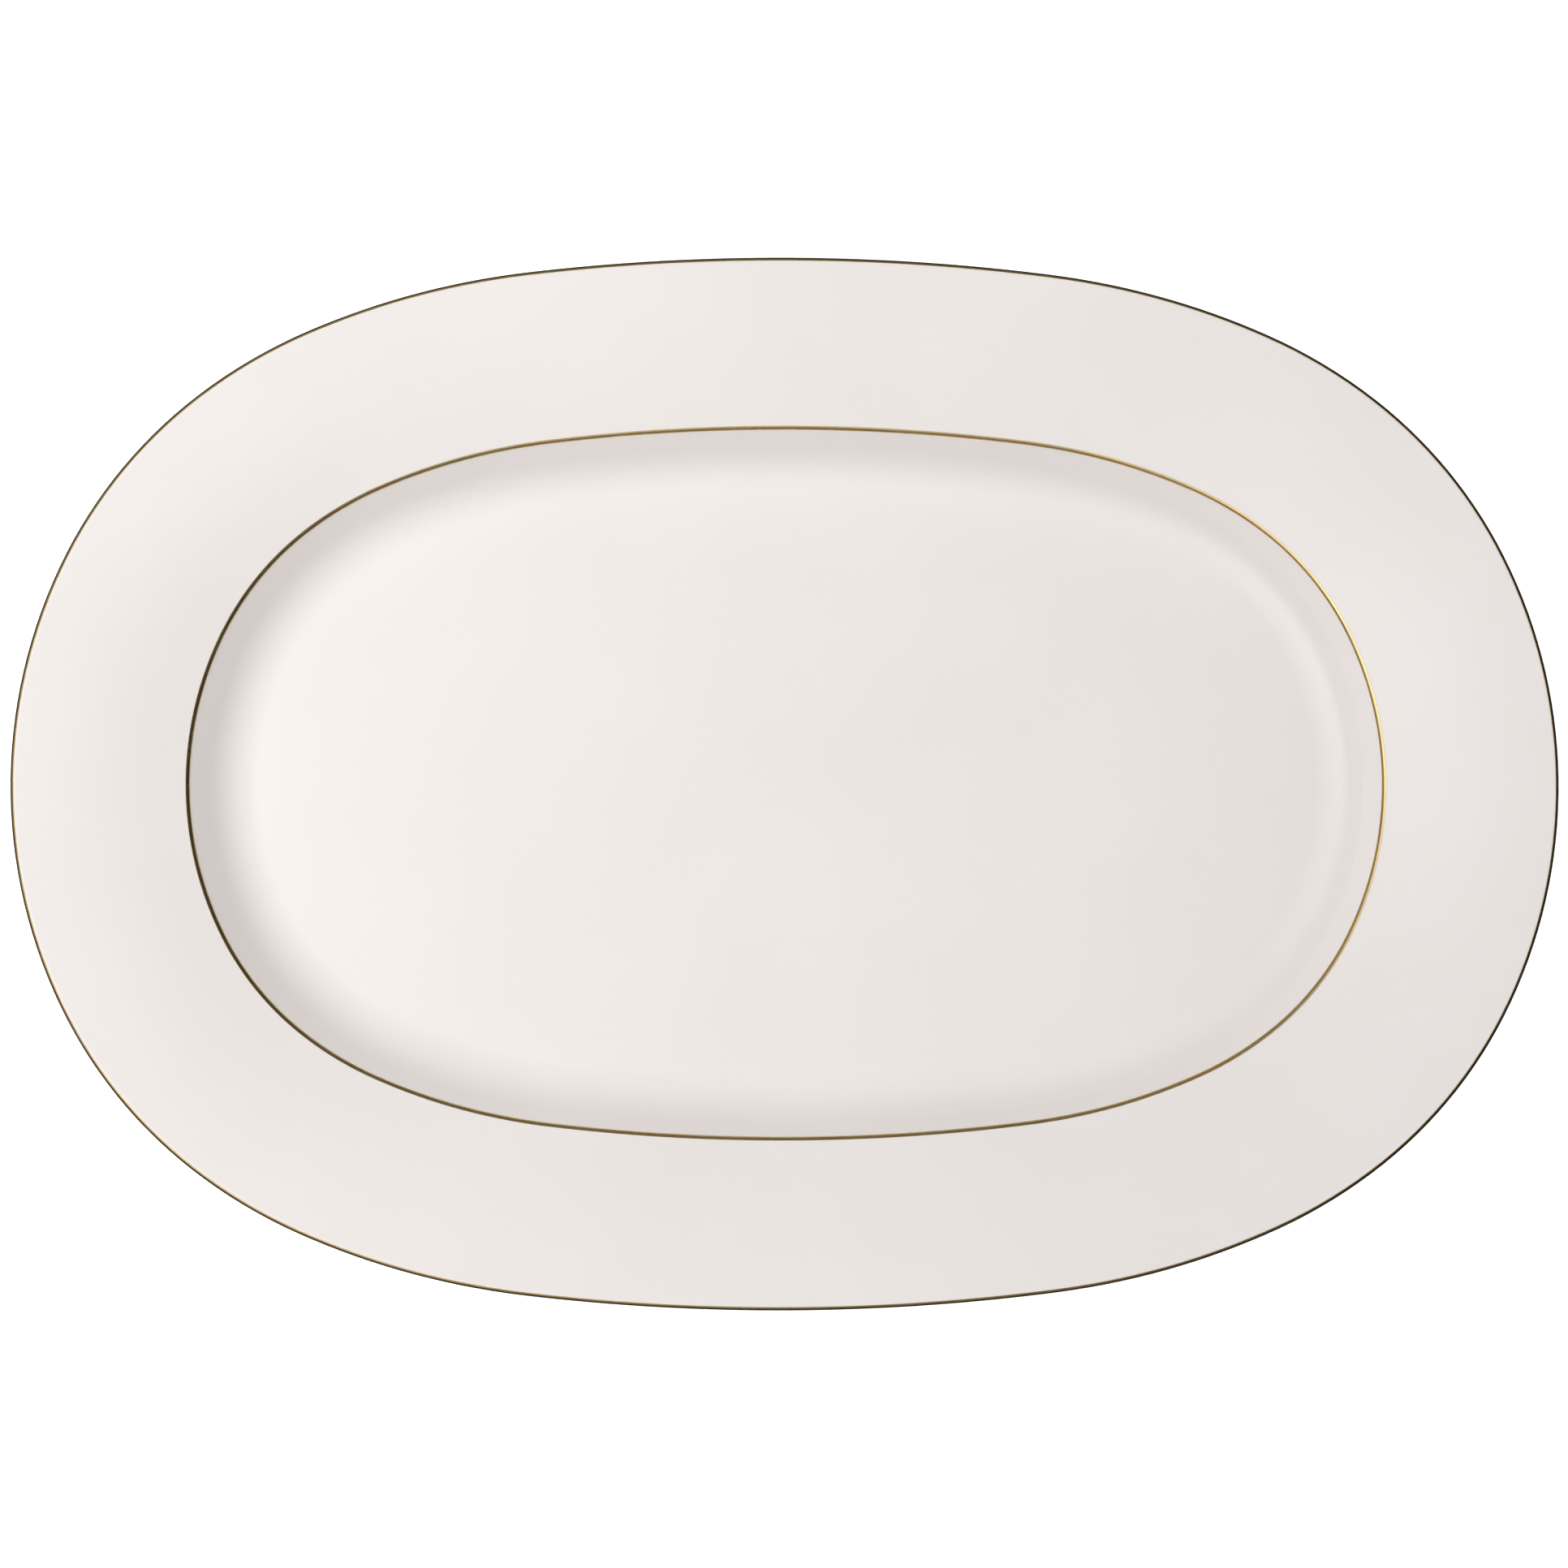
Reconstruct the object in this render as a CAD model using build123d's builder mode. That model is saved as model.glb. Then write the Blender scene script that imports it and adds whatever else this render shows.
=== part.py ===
"""Oval china serving platter: a fired body on a low foot ring, two coats of glaze and two gilded bands.

Millimetres, +Z up. The origin is under the middle of the platter, on the plane that it stands on, and the long
axis lies along X. One profile is carried round an oval of tangent arcs, so its section is the same all the way
round, and the flat floor closes the middle.
"""
from build123d import *
import os
from math import cos, radians, sin

os.makedirs("parts", exist_ok=True)

# Overall size, over the gilded edge
LENGTH = 410.0
WIDTH = 279.0

# Coats on the fired body
GLAZE = 0.3
GOLD = 0.12

# One quarter of the oval, as arcs from the narrow end to the long side: degrees that each one turns
END_TURN = 26.0
SHOULDER_TURNS = (26.0, 14.0, 10.0, 7.0)
SIDE_TURN = 7.0
# Radii of the arcs between the end and the side. Length and width settle the end's and the side's own radii.
SHOULDER_RADII = (121.5, 135.5, 204.0, 210.0)

# Profile, as insets from the glazed edge and heights above the table. Top face:
LIP_TOP = 33.8
RIM_BEND_INSET = 22.0
RIM_BEND_TOP = 28.8
WELL_EDGE_INSET = 43.4
WELL_EDGE_TOP = 20.5
WELL_FOOT_INSET = 52.0
FLOOR_TOP = 9.0
# Back face:
LIP_BACK = 31.0
RIM_BEND_BACK = 24.8
WELL_BACK_INSET = 40.4
WELL_BACK = 16.8
FLOOR_BACK_INSET = 49.8
FOOT_OUTER_ROOT_INSET = 54.0
FOOT_OUTER_INSET = 54.6
FOOT_INNER_INSET = 58.6
FOOT_INNER_ROOT_INSET = 59.6
FLOOR_BACK = 4.2
# The swept ring ends here, on the flat floor, and a flat plate fills the middle
FLOOR_PLATE_INSET = 74.0
FLOOR_LAP = 8.0

# Roundings at the profile's corners
LIP_ROUND = 1.3
RIM_ROUND = 180.0
WELL_EDGE_ROUND = 1.6
WELL_FOOT_ROUND = 16.0
WELL_BACK_ROUND = 9.0
FLOOR_BACK_ROUND = 3.0
FOOT_ROOT_ROUND = 1.2
FOOT_ROUND = 0.9

# Where the coats stop
BARE_FOOT = 1.3
RIM_BAND_INSET = 1.0
RIM_BAND_DROP = 2.0
WELL_BAND_INSET = 43.3
WELL_BAND_WIDTH = 0.9
WELL_BAND_REACH = 2.4  # height over which the band's slope is looked for, about the edge of the well


def oval_arcs():
    """Radius and turn of each arc round the whole oval, from the middle of one narrow end."""
    turns = (END_TURN, *SHOULDER_TURNS, SIDE_TURN)
    ends = [0.0]
    for turn in turns:
        ends.append(ends[-1] + turn)
    across = [cos(radians(a)) - cos(radians(b)) for a, b in zip(ends, ends[1:])]
    along = [sin(radians(b)) - sin(radians(a)) for a, b in zip(ends, ends[1:])]
    # What the end arc and the side arc have to make up of half the length and half the width
    length_left = glazed_length / 2 - sum(r * c for r, c in zip(SHOULDER_RADII, across[1:-1]))
    width_left = glazed_width / 2 - sum(r * s for r, s in zip(SHOULDER_RADII, along[1:-1]))
    determinant = across[0] * along[-1] - across[-1] * along[0]
    end_radius = (length_left * along[-1] - width_left * across[-1]) / determinant
    side_radius = (width_left * across[0] - length_left * along[0]) / determinant
    quarter = list(zip((end_radius, *SHOULDER_RADII, side_radius), turns))
    return (quarter + quarter[::-1]) * 2


def draw_oval(inset):
    """Draws the oval that lies `inset` inside the glazed edge, arc by arc, into the line being built."""
    point, heading = (glazed_length / 2 - inset, 0), (0, 1)
    for radius, turn in arcs:
        arc = JernArc(start=point, tangent=heading, radius=radius - inset, arc_size=turn)
        point, heading = arc @ 1, arc % 1


def section_point(inset, height):
    """A point of the profile, in the plane across the narrow end."""
    return (glazed_length / 2 - inset, height)


glazed_length = LENGTH - 2 * GOLD
glazed_width = WIDTH - 2 * GOLD
arcs = oval_arcs()

# The path that every section follows: the glazed edge itself
with BuildLine(Plane.XY) as edge:
    draw_oval(0)

# The flat middle of the floor, to be raised to each layer's height
with BuildSketch(Plane.XY) as floor_plate:
    with BuildLine():
        draw_oval(FLOOR_PLATE_INSET)
    make_face()

# The glazed profile, from the middle of the floor out over the lip and back under to the foot ring
corners = (
    (WELL_FOOT_INSET, FLOOR_TOP, WELL_FOOT_ROUND),
    (WELL_EDGE_INSET, WELL_EDGE_TOP, WELL_EDGE_ROUND),
    (RIM_BEND_INSET, RIM_BEND_TOP, RIM_ROUND),
    (0, LIP_TOP, LIP_ROUND),
    (0, LIP_BACK, LIP_ROUND),
    (RIM_BEND_INSET, RIM_BEND_BACK, RIM_ROUND),
    (WELL_BACK_INSET, WELL_BACK, WELL_BACK_ROUND),
    (FLOOR_BACK_INSET, FLOOR_BACK, FLOOR_BACK_ROUND),
    (FOOT_OUTER_ROOT_INSET, FLOOR_BACK, FOOT_ROOT_ROUND),
    (FOOT_OUTER_INSET, 0, FOOT_ROUND),
    (FOOT_INNER_INSET, 0, FOOT_ROUND),
    (FOOT_INNER_ROOT_INSET, FLOOR_BACK, FOOT_ROOT_ROUND),
)
start = section_point(FLOOR_PLATE_INSET + FLOOR_LAP, FLOOR_TOP)
finish = section_point(FLOOR_PLATE_INSET + FLOOR_LAP, FLOOR_BACK)
with BuildSketch(Plane.XZ) as glazed_section:
    with BuildLine():
        outline = FilletPolyline(
            start,
            *[section_point(inset, height) for inset, height, _ in corners],
            finish,
            radius=[rounding for _, _, rounding in corners],
        )
        Line(outline @ 1, outline @ 0)
    make_face()

# The part of the profile that is swept: from where the floor plate takes over to the edge
swept_corner = section_point(FLOOR_PLATE_INSET, 0)
with BuildSketch(Plane.XZ) as swept_zone:
    with Locations(swept_corner):
        Rectangle(FLOOR_PLATE_INSET, LIP_TOP, align=(Align.MIN, Align.MIN))

# The bottom of the foot ring, wiped bare of glaze
foot_middle_inset = (FOOT_OUTER_ROOT_INSET + FOOT_INNER_ROOT_INSET) / 2
foot_root_width = FOOT_INNER_ROOT_INSET - FOOT_OUTER_ROOT_INSET
with BuildSketch(Plane.XZ) as bare_foot:
    add(glazed_section.sketch_local)
    with Locations(section_point(foot_middle_inset, BARE_FOOT / 2)):
        Rectangle(foot_root_width, BARE_FOOT, mode=Mode.INTERSECT)

# Clay under the glaze
with BuildSketch(Plane.XZ) as body_section:
    add(glazed_section.sketch_local)
    offset(amount=-GLAZE)
    add(bare_foot.sketch_local)
    add(swept_zone.sketch_local, mode=Mode.INTERSECT)

# Everything else inside the glazed outline is glaze: one coat over the face and back, one inside the foot ring
with BuildSketch(Plane.XZ) as glaze_section:
    add(glazed_section.sketch_local)
    add(body_section.sketch_local, mode=Mode.SUBTRACT)
    add(swept_zone.sketch_local, mode=Mode.INTERSECT)
base_coat, face_coat = glaze_section.sketch.faces().sort_by(SortBy.AREA)

# Gold lies on the glaze
with BuildSketch(Plane.XZ) as gold_skin:
    add(glazed_section.sketch_local)
    offset(amount=GOLD)
    add(glazed_section.sketch_local, mode=Mode.SUBTRACT)

# round the lip, from just inside it to partway down the outside
with BuildSketch(Plane.XZ) as rim_band_section:
    add(gold_skin.sketch_local)
    with Locations(section_point(RIM_BAND_INSET, LIP_TOP - RIM_BAND_DROP)):
        Rectangle(
            RIM_BAND_INSET + GOLD,
            RIM_BAND_DROP + GOLD,
            align=(Align.MIN, Align.MIN),
            mode=Mode.INTERSECT,
        )

# and along the edge of the well
with BuildSketch(Plane.XZ) as well_band_section:
    add(gold_skin.sketch_local)
    with Locations(section_point(WELL_BAND_INSET, WELL_EDGE_TOP)):
        Rectangle(WELL_BAND_WIDTH, WELL_BAND_REACH, mode=Mode.INTERSECT)

# Fired china body
with BuildPart() as china_body:
    add(body_section.sketch)
    sweep(path=edge.wire())
    with BuildSketch(Plane.XY.offset(FLOOR_BACK + GLAZE)):
        add(floor_plate.sketch_local)
    extrude(amount=FLOOR_TOP - FLOOR_BACK - 2 * GLAZE)
china_body.part.label = "china_body"
export_step(china_body.part, "parts/china_body.step")

# Glaze over the floor, the well, the rim and the back, down to the foot ring
with BuildPart() as face_glaze:
    add(face_coat)
    sweep(path=edge.wire())
    with BuildSketch(Plane.XY.offset(FLOOR_TOP - GLAZE)):
        add(floor_plate.sketch_local)
    extrude(amount=GLAZE)
face_glaze.part.label = "face_glaze"
export_step(face_glaze.part, "parts/face_glaze.step")

# Glaze on the underside, inside the foot ring
with BuildPart() as underside_glaze:
    add(base_coat)
    sweep(path=edge.wire())
    with BuildSketch(Plane.XY.offset(FLOOR_BACK)):
        add(floor_plate.sketch_local)
    extrude(amount=GLAZE)
underside_glaze.part.label = "underside_glaze"
export_step(underside_glaze.part, "parts/underside_glaze.step")

# Gilded bands
with BuildPart() as rim_gold_band:
    add(rim_band_section.sketch)
    sweep(path=edge.wire())
rim_gold_band.part.label = "rim_gold_band"
export_step(rim_gold_band.part, "parts/rim_gold_band.step")

with BuildPart() as well_gold_band:
    add(well_band_section.sketch)
    sweep(path=edge.wire())
well_gold_band.part.label = "well_gold_band"
export_step(well_gold_band.part, "parts/well_gold_band.step")
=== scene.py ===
"""Oval china serving platter on a pale table, seen from above. Metres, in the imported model's own frame.

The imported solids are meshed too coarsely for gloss, so the glaze and the gilded bands are meshed again here,
finely and with exact normals, from the same profile carried round the same oval. The clay body is shown as it
was packed.
"""
import math

import bpy
import numpy as np
from mathutils import Matrix, Vector


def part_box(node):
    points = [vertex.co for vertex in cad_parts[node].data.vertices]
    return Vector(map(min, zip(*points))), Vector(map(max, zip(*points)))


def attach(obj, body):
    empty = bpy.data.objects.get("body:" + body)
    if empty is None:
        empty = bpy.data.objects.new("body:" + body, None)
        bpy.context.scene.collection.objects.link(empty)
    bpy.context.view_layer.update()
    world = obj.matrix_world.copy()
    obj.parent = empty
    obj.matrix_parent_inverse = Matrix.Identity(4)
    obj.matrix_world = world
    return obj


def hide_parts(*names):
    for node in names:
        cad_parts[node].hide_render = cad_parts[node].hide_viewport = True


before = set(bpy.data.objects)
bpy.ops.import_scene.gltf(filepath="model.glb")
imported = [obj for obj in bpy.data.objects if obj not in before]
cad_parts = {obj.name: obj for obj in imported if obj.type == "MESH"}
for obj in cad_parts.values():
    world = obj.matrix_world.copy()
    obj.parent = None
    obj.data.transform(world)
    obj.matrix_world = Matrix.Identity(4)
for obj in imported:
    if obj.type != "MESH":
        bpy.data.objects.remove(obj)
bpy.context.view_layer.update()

MM = 0.001

# ---------------------------------------------------------------------------------------------------------------
# The platter's oval and profile, in millimetres
# ---------------------------------------------------------------------------------------------------------------

glaze_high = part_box("face_glaze")[1]
HALF_LENGTH = glaze_high.x / MM
HALF_WIDTH = glaze_high.y / MM
GLAZE = 0.3
GOLD = (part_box("rim_gold_band")[1].x - glaze_high.x) / MM

# One quarter of the oval, as arcs from the narrow end to the long side
END_TURN = 26.0
SHOULDER_TURNS = (26.0, 14.0, 10.0, 7.0)
SIDE_TURN = 7.0
SHOULDER_RADII = (121.5, 135.5, 204.0, 210.0)

# Corners of the profile: inset from the glazed edge, height above the table, rounding
FLOOR_TOP = 9.0
FLOOR_BACK = 4.2
BARE_FOOT = 1.3
RIM_BEND_TOP = 28.8
LIP_TOP = 33.8
TOP_CORNERS = (
    (52.0, FLOOR_TOP, 16.0),  # foot of the well's wall
    (43.4, 20.5, 1.6),  # edge of the well
    (22.0, RIM_BEND_TOP, 180.0),  # bend of the rim
    (0.0, LIP_TOP, 1.3),  # lip
)
BACK_CORNERS = (
    (0.0, 31.0, 1.3),  # lip
    (22.0, 24.8, 180.0),  # bend of the rim
    (40.4, 16.8, 9.0),  # under the edge of the well
    (49.8, FLOOR_BACK, 3.0),  # foot of the wall
    (54.0, FLOOR_BACK, 1.2),  # outer root of the foot ring
)
FOOT_OUTSIDE = (54.6, 0.0)
FOOT_INSIDE = (58.6, 0.0)
FOOT_INNER_ROOT = (59.6, FLOOR_BACK, 1.2)
FLOOR_INSET = 74.0  # the profile ends here, and flat rings fill the middle

# Gilded bands
RIM_BAND_INSET = 1.0
RIM_BAND_DROP = 2.0
WELL_BAND_INSET = 43.3
WELL_BAND_WIDTH = 0.9

# How finely the meshes follow the oval and the profile
EDGE_STEP = 4.0
RUN_STEP = 4.0
TURN_STEP = math.radians(5.0)
FLOOR_RINGS = 24
BAND_POINTS = 18
LINE_SAMPLES = 40000  # tried along a profile line to find where a band starts and ends


def turned(way, angle):
    """A direction in the plane, turned by an angle."""
    return np.array(
        [
            way[0] * math.cos(angle) - way[1] * math.sin(angle),
            way[0] * math.sin(angle) + way[1] * math.cos(angle),
        ]
    )


def oval_arcs():
    """Radius and turn of each arc round the whole oval, from the middle of one narrow end."""
    turns = np.radians((END_TURN, *SHOULDER_TURNS, SIDE_TURN))
    ends = np.concatenate([[0], np.cumsum(turns)])
    across = np.cos(ends[:-1]) - np.cos(ends[1:])
    along = np.sin(ends[1:]) - np.sin(ends[:-1])
    left = (HALF_LENGTH - across[1:-1] @ SHOULDER_RADII, HALF_WIDTH - along[1:-1] @ SHOULDER_RADII)
    end_and_side = np.linalg.solve([across[[0, -1]], along[[0, -1]]], left)
    quarter = list(zip((end_and_side[0], *SHOULDER_RADII, end_and_side[1]), turns))
    return (quarter + quarter[::-1]) * 2


def oval_stations():
    """Places round the glazed edge, the way out of the platter at each, and the length of edge up to each."""
    places, outward, lengths = [], [], []
    here, way, length = np.array([HALF_LENGTH, 0.0]), np.array([1.0, 0.0]), 0.0
    for radius, turn in oval_arcs():
        centre = here - radius * way
        steps = max(1, round(radius * turn / EDGE_STEP))
        for step in range(steps):
            angle = turn * step / steps
            outward.append(turned(way, angle))
            places.append(centre + radius * outward[-1])
            lengths.append(length + radius * angle)
        way = turned(way, turn)
        here = centre + radius * way
        length += radius * turn
    return np.array(places), np.array(outward), np.array(lengths + [length])


def rounded(start, corners, finish):
    """Points of a line through rounded corners, as (inset, height), and the unit normal on its right at each."""
    stops = [np.array(stop[:2], float) for stop in (start, *corners, finish)]
    points, normals = [], []

    def add(point, way):
        points.append(point)
        normals.append((way[1], -way[0]))

    def add_run(begin, end, way):
        steps = max(1, math.ceil(np.linalg.norm(end - begin) / RUN_STEP))
        for step in range(steps + 1):
            add(begin + (end - begin) * step / steps, way)

    here = stops[0]
    way = (stops[1] - here) / np.linalg.norm(stops[1] - here)
    for corner, after, (_, _, radius) in zip(stops[1:], stops[2:], corners):
        way_out = (after - corner) / np.linalg.norm(after - corner)
        turn = math.atan2(way[0] * way_out[1] - way[1] * way_out[0], way @ way_out)
        tangent = radius * math.tan(abs(turn) / 2)
        add_run(here, corner - way * tangent, way)
        to_centre = math.copysign(radius, turn) * np.array([-way[1], way[0]])
        centre = corner - way * tangent + to_centre
        steps = math.ceil(abs(turn) * max(1 / TURN_STEP, radius / RUN_STEP))
        for step in range(1, steps):
            angle = turn * step / steps
            add(centre - turned(to_centre, angle), turned(way, angle))
        here, way = corner + way_out * tangent, way_out
    add_run(here, stops[-1], way)
    return np.array(points), np.array(normals)


def stretch(line, begin, end, count):
    """Evenly spaced points of a line, between the first points that pass two tests, with their normals."""
    points, normals = line
    passed = np.concatenate([[0], np.cumsum(np.linalg.norm(np.diff(points, axis=0), axis=1))])
    fine = np.linspace(0, passed[-1], LINE_SAMPLES)
    inset, height = (np.interp(fine, passed, points[:, k]) for k in (0, 1))
    first = np.argmax(begin(inset, height))
    last = first + np.argmax(end(inset[first:], height[first:]))
    wanted = np.linspace(fine[first], fine[last], count)
    points = np.stack([np.interp(wanted, passed, points[:, k]) for k in (0, 1)], 1)
    normals = np.stack([np.interp(wanted, passed, normals[:, k]) for k in (0, 1)], 1)
    return points, normals / np.linalg.norm(normals, axis=1)[:, None]


places, outward, edge_lengths = oval_stations()


def swept(points, normals):
    """A profile line carried round the oval: points and normals, as stations by profile points by 3."""
    flat = places[:, None] - points[None, :, :1] * outward[:, None]
    lean = -normals[None, :, :1] * outward[:, None]
    height = np.broadcast_to(points[None, :, 1:], flat.shape[:2] + (1,))
    rise = np.broadcast_to(normals[None, :, 1:], flat.shape[:2] + (1,))
    return np.concatenate([flat, height], 2), np.concatenate([lean, rise], 2)


# ---------------------------------------------------------------------------------------------------------------
# Meshes
# ---------------------------------------------------------------------------------------------------------------


class Surface:
    """Grids of quads collected into one mesh, each corner with its own normal and its place along the band."""

    def __init__(self):
        self.points, self.faces, self.normals, self.uvs, self.count = [], [], [], [], 0

    def add_points(self, points):
        """Adds an array of points and gives their numbers, in the same shape."""
        flat = points.reshape(-1, 3)
        numbers = np.arange(self.count, self.count + len(flat)).reshape(points.shape[:-1])
        self.points.append(flat)
        self.count += len(flat)
        return numbers

    def add_grid(self, numbers, normals, across=None, flip=False):
        """Quads between neighbouring stations and neighbouring profile points, closed round the oval."""
        here, there = numbers, np.roll(numbers, -1, 0)
        quads = np.stack([here[:, :-1], here[:, 1:], there[:, 1:], there[:, :-1]], -1)
        n_here, n_there = normals, np.roll(normals, -1, 0)
        corner_normals = np.stack([n_here[:, :-1], n_here[:, 1:], n_there[:, 1:], n_there[:, :-1]], -2)
        if across is None:
            across = np.zeros(numbers.shape[1])
        u0, u1 = (np.broadcast_to(u[:, None], quads.shape[:2]) for u in (edge_lengths[:-1], edge_lengths[1:]))
        v0, v1 = (np.broadcast_to(v[None], quads.shape[:2]) for v in (across[:-1], across[1:]))
        corner_uvs = np.stack(
            [np.stack(pair, -1) for pair in ((u0, v0), (u0, v1), (u1, v1), (u1, v0))], -2
        )
        if flip:
            quads = quads[..., ::-1]
            corner_normals = corner_normals[..., ::-1, :]
            corner_uvs = corner_uvs[..., ::-1, :]
        self.faces += quads.reshape(-1, 4).tolist()
        self.normals.append(corner_normals.reshape(-1, 3))
        self.uvs.append(corner_uvs.reshape(-1, 2))

    def add_middle(self, ring, normal, flip=False):
        """Fills a flat oval ring with smaller rings and a fan of triangles round its middle."""
        edge = np.concatenate(self.points)[ring]
        middle = edge.mean(0)
        shares = np.linspace(1, 0, FLOOR_RINGS + 1)[1:-1]
        inner = self.add_points(middle + (edge - middle)[:, None] * shares[None, :, None])
        numbers = np.concatenate([ring[:, None], inner], 1)
        normals = np.broadcast_to(np.array(normal, float), numbers.shape + (3,))
        self.add_grid(numbers, normals, flip=flip)
        centre = self.add_points(middle[None])[0]
        for here, there in zip(numbers[:, -1], np.roll(numbers[:, -1], -1)):
            self.faces.append([there, centre, here] if flip else [here, centre, there])
        self.normals.append(np.tile(np.array(normal, float), (3 * len(ring), 1)))
        self.uvs.append(np.zeros((3 * len(ring), 2)))

    def make(self, name, material):
        mesh = bpy.data.meshes.new(name)
        mesh.from_pydata((np.concatenate(self.points) * MM).tolist(), [], self.faces)
        mesh.polygons.foreach_set("use_smooth", np.ones(len(mesh.polygons), bool))
        band = mesh.uv_layers.new(name="along_and_across")
        band.data.foreach_set("uv", np.concatenate(self.uvs).ravel())
        mesh.materials.append(material)
        mesh.normals_split_custom_set(np.concatenate(self.normals).tolist())
        piece = bpy.data.objects.new(name, mesh)
        bpy.context.scene.collection.objects.link(piece)
        return piece


def coat(name, line, above, below, material, closes="neither"):
    """A closed skin over a profile line, from `below` under the line to `above` over it. closes says which end of
    the line is the flat floor, to be filled in to the middle: start, finish or neither."""
    points, normals = line
    surface = Surface()
    across = np.concatenate([[0], np.cumsum(np.linalg.norm(np.diff(points, axis=0), axis=1))])
    outer, outer_normals = swept(points + normals * above, normals)
    inner, inner_normals = swept(points - normals * below, -normals)
    outer, inner = surface.add_points(outer), surface.add_points(inner)
    surface.add_grid(outer, outer_normals, across)
    surface.add_grid(inner, inner_normals, across, flip=True)
    way = normals[:, ::-1] * (-1, 1)  # along the line, at each point
    for end, where, sign in (("start", 0, -1), ("finish", -1, 1)):
        if closes == end:
            up = normals[where][1]
            surface.add_middle(outer[:, where], (0, 0, up), flip=end == "start")
            surface.add_middle(inner[:, where], (0, 0, -up), flip=end == "finish")
        else:
            _, edge_normals = swept(points[[where]], way[[where]] * sign)
            surface.add_grid(
                np.stack([outer[:, where], inner[:, where]], 1),
                np.repeat(edge_normals, 2, 1),
                flip=end == "start",
            )
    return surface.make(name, material)


# ---------------------------------------------------------------------------------------------------------------
# Materials
# ---------------------------------------------------------------------------------------------------------------

# Patches, ripples, specks and grain are in metres
GLAZE_TONES = ((0.840, 0.790, 0.765, 1), (0.860, 0.812, 0.790, 1))
GLAZE_IOR = 1.52
GLAZE_PATCH = 0.055
GLAZE_ROUGHNESS = (0.05, 0.085)
GLAZE_ROUGHNESS_PATCH = 0.018
GLAZE_RIPPLE = 0.009
GLAZE_RIPPLE_DEPTH = 0.00002
SPECK_SPACING = 0.03
SPECK_RADIUS = 0.0004
SPECK_CHANCE = 0.8
SPECK_STRENGTH = 0.5
SPECK_EDGE = 0.004
SPECK_COLOUR = (0.33, 0.25, 0.17, 1)

GOLD_TONES = ((0.86, 0.62, 0.27, 1), (0.78, 0.60, 0.33, 1))
GOLD_PATCH = 0.012
GOLD_THINNING = (0.35, 0.75)
GOLD_ROUGHNESS = (0.14, 0.28)
GOLD_THIN_ROUGHNESS = 0.08
STROKE_SCALE = (0.06, 5.0, 1.0)  # strokes per millimetre along and across the band
STROKE_DEPTH = 0.000012

CLAY_TONES = ((0.72, 0.68, 0.62, 1), (0.80, 0.77, 0.72, 1))
CLAY_PATCH = 0.02
CLAY_GRAIN = 0.0006
CLAY_GRAIN_DEPTH = 0.00004
CLAY_ROUGHNESS = (0.75, 0.92)
PORE_COLOUR = (0.60, 0.56, 0.50, 1)
PORE_SHARE = 0.35
PORE_RANGE = (0.3, 0.42)


class Nodes:
    """A node tree, built with short calls. A node's inputs are given by name or by number."""

    def __init__(self, tree):
        self.tree = tree

    def feed(self, node, inputs):
        for key, value in inputs.items():
            if isinstance(value, bpy.types.NodeSocket):
                self.tree.links.new(value, node.inputs[key])
            else:
                node.inputs[key].default_value = value

    def add_node(self, kind, inputs, **settings):
        node = self.tree.nodes.new("ShaderNode" + kind)
        for name, value in settings.items():
            setattr(node, name, value)
        self.feed(node, inputs)
        return node

    def add(self, kind, output, inputs, **settings):
        """Adds a node and gives one of its outputs."""
        return self.add_node(kind, inputs, **settings).outputs[output]

    def place(self):
        """Where a point is on the platter, in metres."""
        return self.add("TexCoord", "Object", {})

    def noise(self, where, feature, detail=2.0, rough=0.5):
        """Soft noise from 0 to 1, with features of about this size in metres."""
        return self.add(
            "TexNoise", "Fac", {"Vector": where, "Scale": 1 / feature, "Detail": detail, "Roughness": rough}
        )

    def spread(self, value, low, high, start=0.3, end=0.7):
        """A value carried from one range to another, and kept inside it."""
        return self.add(
            "MapRange",
            "Result",
            {"Value": value, "From Min": start, "From Max": end, "To Min": low, "To Max": high},
        )

    def mixed(self, share, first, second):
        """One colour turning into another."""
        return self.add("Mix", 2, {0: share, 6: first, 7: second}, data_type="RGBA")

    def maths(self, operation, first, second):
        return self.add("Math", 0, {0: first, 1: second}, operation=operation)


class Material(Nodes):
    """One material: its shader and the nodes that feed it."""

    def __init__(self, name, metallic=0.0, ior=1.5):
        self.material = bpy.data.materials.new(name)
        self.material.use_nodes = True
        super().__init__(self.material.node_tree)
        self.shader = self.tree.nodes["Principled BSDF"]
        self.feed(self.shader, {"Metallic": metallic, "IOR": ior})

    def finish(self, colour, roughness, height, depth):
        """Joins colour, roughness and relief to the shader. depth is the relief's height in metres."""
        bump = self.add("Bump", "Normal", {"Height": height, "Strength": 1.0, "Distance": depth})
        self.feed(self.shader, {"Base Color": colour, "Roughness": roughness, "Normal": bump})
        return self.material


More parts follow.
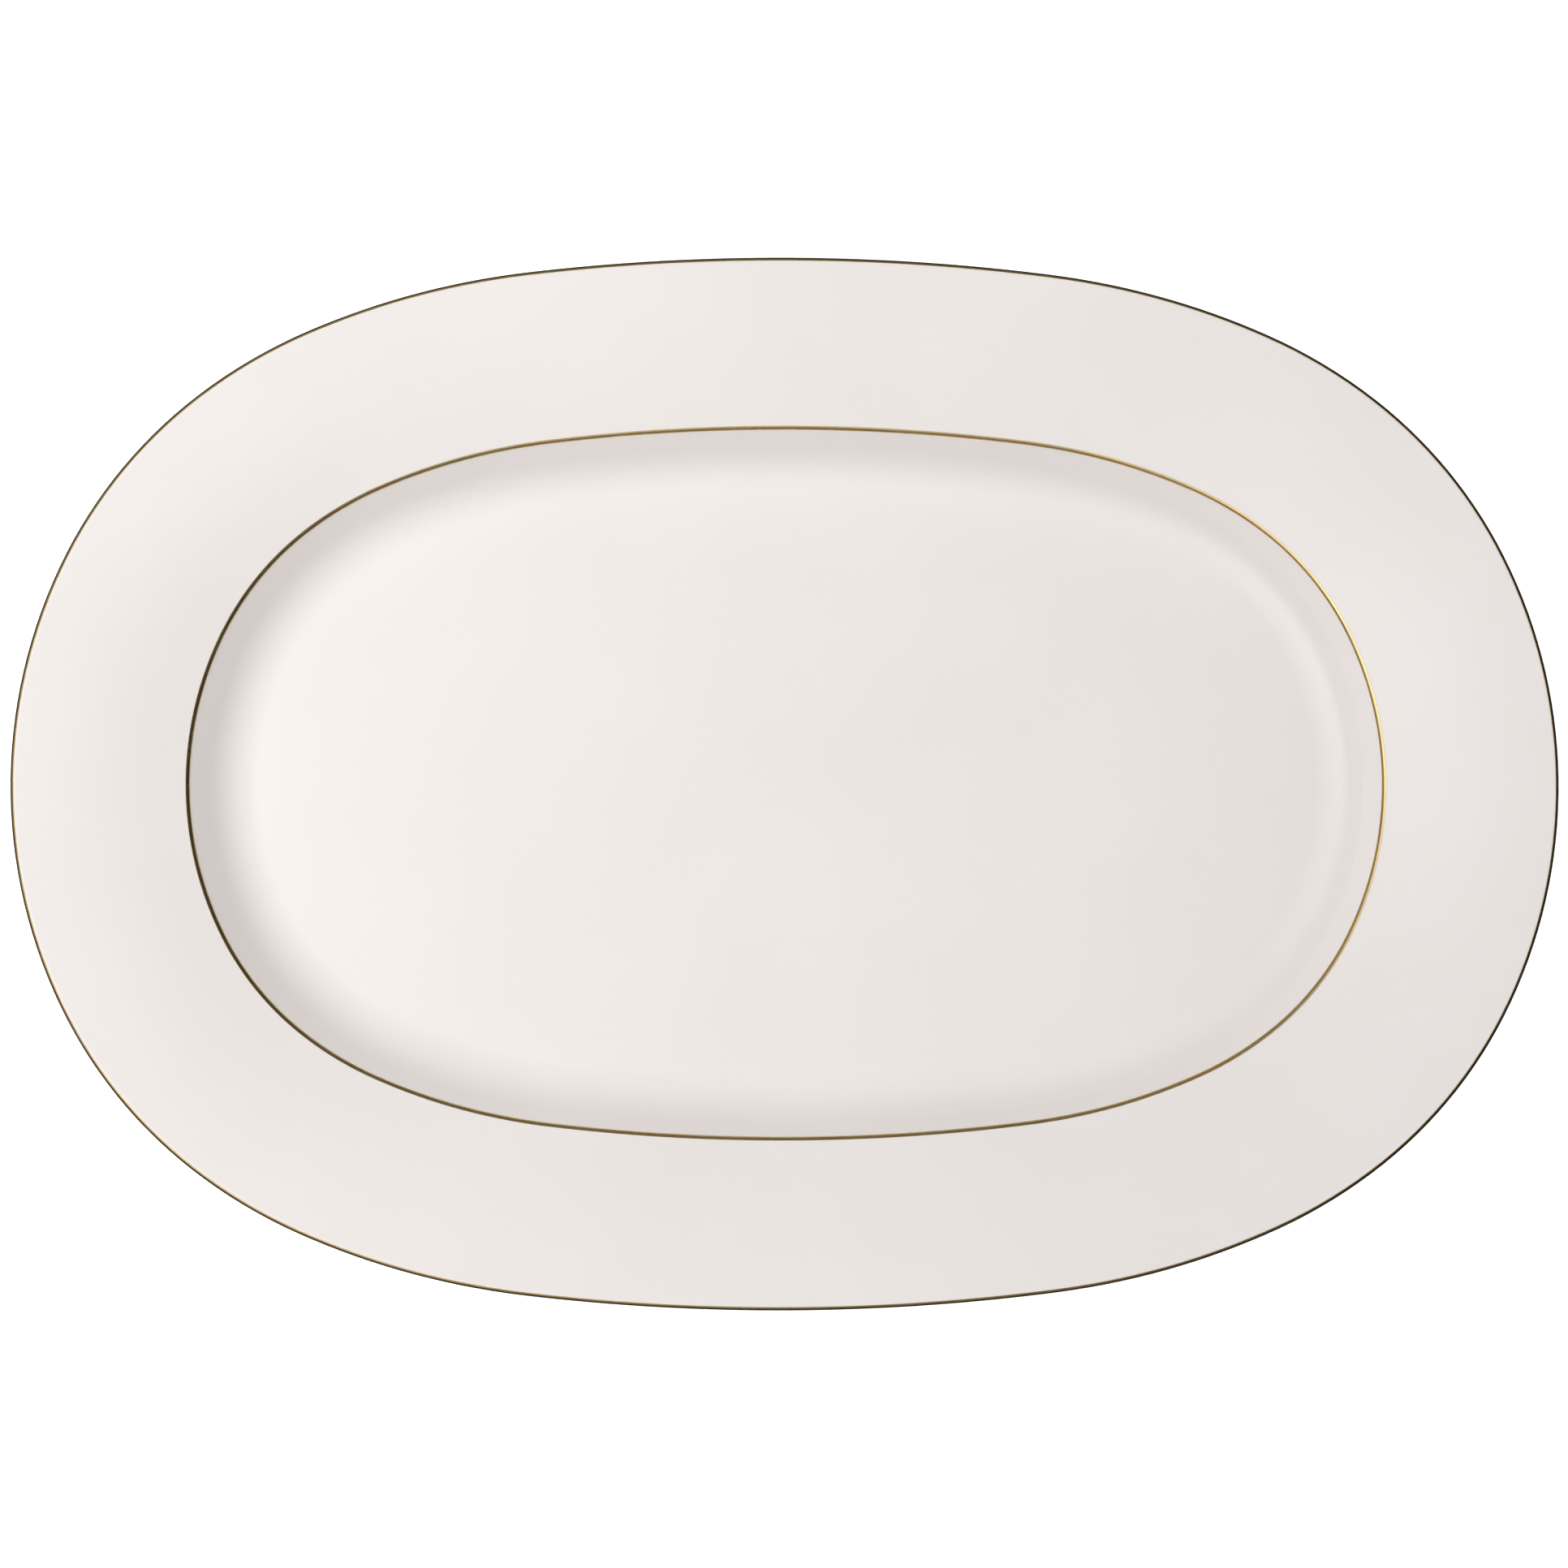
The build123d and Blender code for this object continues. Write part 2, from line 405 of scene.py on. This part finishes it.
def glaze_material():
    """Clear glaze over warm white china: glossy, with a faint ripple, uneven tone and a few kiln specks."""
    nodes = Material("china_glaze", ior=GLAZE_IOR)
    where = nodes.place()
    tone = nodes.spread(nodes.noise(where, GLAZE_PATCH, 3), 0, 1)
    china = nodes.mixed(tone, *GLAZE_TONES)
    cells = nodes.add_node("TexVoronoi", {"Vector": where, "Scale": 1 / SPECK_SPACING})
    chance = nodes.add("SeparateColor", "Red", {"Color": cells.outputs["Color"]})
    size = nodes.spread(chance, 0, SPECK_RADIUS / SPECK_SPACING, SPECK_CHANCE, 1)
    inside = nodes.maths("SUBTRACT", size, cells.outputs["Distance"])
    speck = nodes.spread(inside, 0, SPECK_STRENGTH, 0, SPECK_EDGE)
    colour = nodes.mixed(speck, china, SPECK_COLOUR)
    roughness = nodes.spread(nodes.noise(where, GLAZE_ROUGHNESS_PATCH), *GLAZE_ROUGHNESS)
    return nodes.finish(colour, roughness, nodes.noise(where, GLAZE_RIPPLE), GLAZE_RIPPLE_DEPTH)


def gold_material():
    """Fired gold laid on with a brush: bright, with fine strokes along the band and thinner, duller places."""
    nodes = Material("fired_gold", metallic=1.0)
    along = nodes.add("TexCoord", "UV", {})
    stroke = nodes.add("Mapping", "Vector", {"Vector": along, "Scale": STROKE_SCALE})
    strokes = nodes.add("TexNoise", "Fac", {"Vector": stroke, "Scale": 1.0, "Detail": 3.0})
    thin = nodes.spread(nodes.noise(nodes.place(), GOLD_PATCH, 3), 0, 1, *GOLD_THINNING)
    colour = nodes.mixed(thin, *GOLD_TONES)
    duller = nodes.maths("MULTIPLY", thin, GOLD_THIN_ROUGHNESS)
    roughness = nodes.maths("ADD", nodes.spread(strokes, *GOLD_ROUGHNESS), duller)
    return nodes.finish(colour, roughness, strokes, STROKE_DEPTH)


def bisque_material():
    """The bare foot: fired clay wiped clean of glaze, matt and finely grained, with a few dark pores."""
    nodes = Material("bare_clay")
    where = nodes.place()
    tone = nodes.spread(nodes.noise(where, CLAY_PATCH, 4), 0, 1)
    grain = nodes.noise(where, CLAY_GRAIN, 3, 0.7)
    clay = nodes.mixed(tone, *CLAY_TONES)
    colour = nodes.mixed(nodes.spread(grain, 0, PORE_SHARE, *PORE_RANGE), PORE_COLOUR, clay)
    return nodes.finish(colour, nodes.spread(grain, *CLAY_ROUGHNESS), grain, CLAY_GRAIN_DEPTH)


# ---------------------------------------------------------------------------------------------------------------
# Pieces
# ---------------------------------------------------------------------------------------------------------------

glaze = glaze_material()
gold = gold_material()
bisque = bisque_material()

outside_flank = np.array(FOOT_OUTSIDE) - BACK_CORNERS[-1][:2]
inside_flank = np.array(FOOT_INSIDE) - FOOT_INNER_ROOT[:2]
outer_stop = np.array(FOOT_OUTSIDE) - outside_flank * (BARE_FOOT / FLOOR_BACK)
inner_stop = np.array(FOOT_INSIDE) - inside_flank * (BARE_FOOT / FLOOR_BACK)

face_line = rounded((FLOOR_INSET, FLOOR_TOP), TOP_CORNERS + BACK_CORNERS, outer_stop)
underside_line = rounded(inner_stop, (FOOT_INNER_ROOT,), (FLOOR_INSET, FLOOR_BACK))

face_glaze = coat("face_glaze_skin", face_line, 0.0, GLAZE, glaze, "start")
underside_glaze = coat("underside_glaze_skin", underside_line, 0.0, GLAZE, glaze, "finish")

rim_line = stretch(
    face_line,
    lambda inset, height: (inset < RIM_BAND_INSET) & (height > RIM_BEND_TOP),
    lambda inset, height: (inset < RIM_BAND_INSET) & (height < LIP_TOP - RIM_BAND_DROP),
    BAND_POINTS,
)
well_line = stretch(
    face_line,
    lambda inset, height: inset < WELL_BAND_INSET + WELL_BAND_WIDTH / 2,
    lambda inset, height: inset < WELL_BAND_INSET - WELL_BAND_WIDTH / 2,
    BAND_POINTS,
)
rim_band = coat("rim_gold_line", rim_line, GOLD, 0.0, gold)
well_band = coat("well_gold_line", well_line, GOLD, 0.0, gold)

for piece, node, slot in (
    (face_glaze, "face_glaze", "glaze"),
    (underside_glaze, "underside_glaze", "glaze"),
    (rim_band, "rim_gold_band", "gold"),
    (well_band, "well_gold_band", "gold"),
):
    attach(piece, "root")
    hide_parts(node)

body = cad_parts["china_body"]
for material_slot in body.material_slots:
    material_slot.material = bisque

# ---------------------------------------------------------------------------------------------------------------
# Floor, light and camera
# ---------------------------------------------------------------------------------------------------------------

FLOOR_RADIUS = 4.0
FLOOR_HEIGHT = -0.0002
FLOOR_SIDES = 96
FLOOR_TONES = (0.88, 0.9)
FLOOR_PATCH = 0.4
FLOOR_ROUGHNESS = 0.9
FLOOR_GLOW = 0.6

# The room. Mirrored rays see it dim, with a soft glow high on the left; the camera sees it plain and pale.
ROOM_LIGHT = 0.95
ROOM_SIDES = (-0.3, 0.7)  # dims from left to right between these, as parts of a unit way
ROOM_DIMMING = (0.22, 0.04)
HORIZON = (-0.05, 0.15)
BELOW_HORIZON = 0.12
GLOW = 1.7
GLOW_WAY = (-0.58, -0.27, 0.77)
GLOW_FOCUS = 5.0
GLOW_FOOT = (0.5, 0.75)  # the glow fades out downwards between these heights

# Soft lights, all facing the origin
LAMPS = {
    # name: (place, size, watts)
    "left": ((-0.6, 0.0, 0.8), (0.9, 0.5), 8.2),
    "left_low": ((-1.2, 0.0, 0.33), (1.2, 0.35), 1.5),
    "right": ((0.8, 0.0, 1.1), (1.2, 0.8), 3.9),
    "right_low": ((1.1, 0.0, 0.6), (1.2, 0.8), 4.8),
    "front_low": ((0.0, -1.2, 0.4), (1.2, 0.5), 2.1),
    "back": ((0.0, 0.8, 1.1), (1.2, 0.8), 2.85),
}

CAMERA_PLACE = Vector((-0.0164, -0.0284, 0.6385))
CAMERA_AIM = Vector((-0.00098, 0.0001, -0.0015))
CAMERA_RIGHT = Vector((0.9997, -0.0021, 0.0312))
LENS = 52.65
SENSOR = 36.0
NEAREST = 0.01
FURTHEST = 20.0


def floor_disc():
    """A plain round floor, a hair under the foot."""
    mesh = bpy.data.meshes.new("floor")
    turns = np.linspace(0, math.tau, FLOOR_SIDES, endpoint=False)
    rim = [(FLOOR_RADIUS * math.cos(turn), FLOOR_RADIUS * math.sin(turn), FLOOR_HEIGHT) for turn in turns]
    mesh.from_pydata(rim, [], [list(range(len(rim)))])
    nodes = Material("pale_floor")
    pale = nodes.spread(nodes.noise(nodes.place(), FLOOR_PATCH), *FLOOR_TONES)
    colour = nodes.add("CombineColor", "Color", {"Red": pale, "Green": pale, "Blue": pale})
    nodes.feed(
        nodes.shader,
        {
            "Base Color": colour,
            "Roughness": FLOOR_ROUGHNESS,
            "Emission Color": colour,
            "Emission Strength": FLOOR_GLOW,
        },
    )
    mesh.materials.append(nodes.material)
    disc = bpy.data.objects.new("floor", mesh)
    bpy.context.scene.collection.objects.link(disc)
    disc.visible_glossy = False
    return disc


def soft_light(name, place, size, watts):
    """A rectangular soft light facing the origin, hidden from mirrored rays."""
    data = bpy.data.lights.new(name, "AREA")
    data.shape = "RECTANGLE"
    data.size, data.size_y = size
    data.energy = watts
    light = bpy.data.objects.new(name, data)
    bpy.context.scene.collection.objects.link(light)
    light.location = place
    light.rotation_euler = (-Vector(place)).to_track_quat("-Z", "Y").to_euler()
    light.visible_glossy = False


def surroundings():
    """The room round the platter. It lights nothing; the glaze and the gold mirror it."""
    world = bpy.data.worlds.new("room")
    bpy.context.scene.world = world
    world.use_nodes = True
    world.cycles_visibility.diffuse = False
    nodes = Nodes(world.node_tree)
    way = nodes.add("TexCoord", "Generated", {})
    parts = nodes.add_node("SeparateXYZ", {"Vector": way})
    x, z = parts.outputs["X"], parts.outputs["Z"]
    towards = nodes.add("VectorMath", "Value", {0: way, 1: GLOW_WAY}, operation="DOT_PRODUCT")
    glow = nodes.maths("POWER", nodes.maths("MAXIMUM", towards, 0.0), GLOW_FOCUS)
    glow = nodes.maths("MULTIPLY", glow, nodes.spread(z, 0, GLOW, *GLOW_FOOT))
    lit = nodes.maths("ADD", glow, nodes.spread(x, *ROOM_DIMMING, *ROOM_SIDES))
    mirrored = nodes.maths("MULTIPLY", lit, nodes.spread(z, BELOW_HORIZON, 1, *HORIZON))
    seen = nodes.add("LightPath", "Is Camera Ray", {})
    strength = nodes.spread(seen, mirrored, ROOM_LIGHT, 0, 1)
    background = nodes.tree.nodes["Background"]
    nodes.feed(background, {"Color": (1.0, 1.0, 1.0, 1), "Strength": strength})


floor = floor_disc()
surroundings()
for name, (place, size, watts) in LAMPS.items():
    soft_light(name, place, size, watts)

camera = bpy.data.objects.new("camera", bpy.data.cameras.new("camera"))
bpy.context.scene.collection.objects.link(camera)
bpy.context.scene.camera = camera
camera.data.lens = LENS
camera.data.sensor_width = SENSOR
camera.data.clip_start, camera.data.clip_end = NEAREST, FURTHEST
ahead = (CAMERA_AIM - CAMERA_PLACE).normalized()
right = (CAMERA_RIGHT - ahead * CAMERA_RIGHT.dot(ahead)).normalized()
facing = Matrix((right, right.cross(ahead), -ahead)).transposed().to_4x4()
camera.matrix_world = Matrix.Translation(CAMERA_PLACE) @ facing

bpy.context.scene.view_settings.view_transform = "Standard"
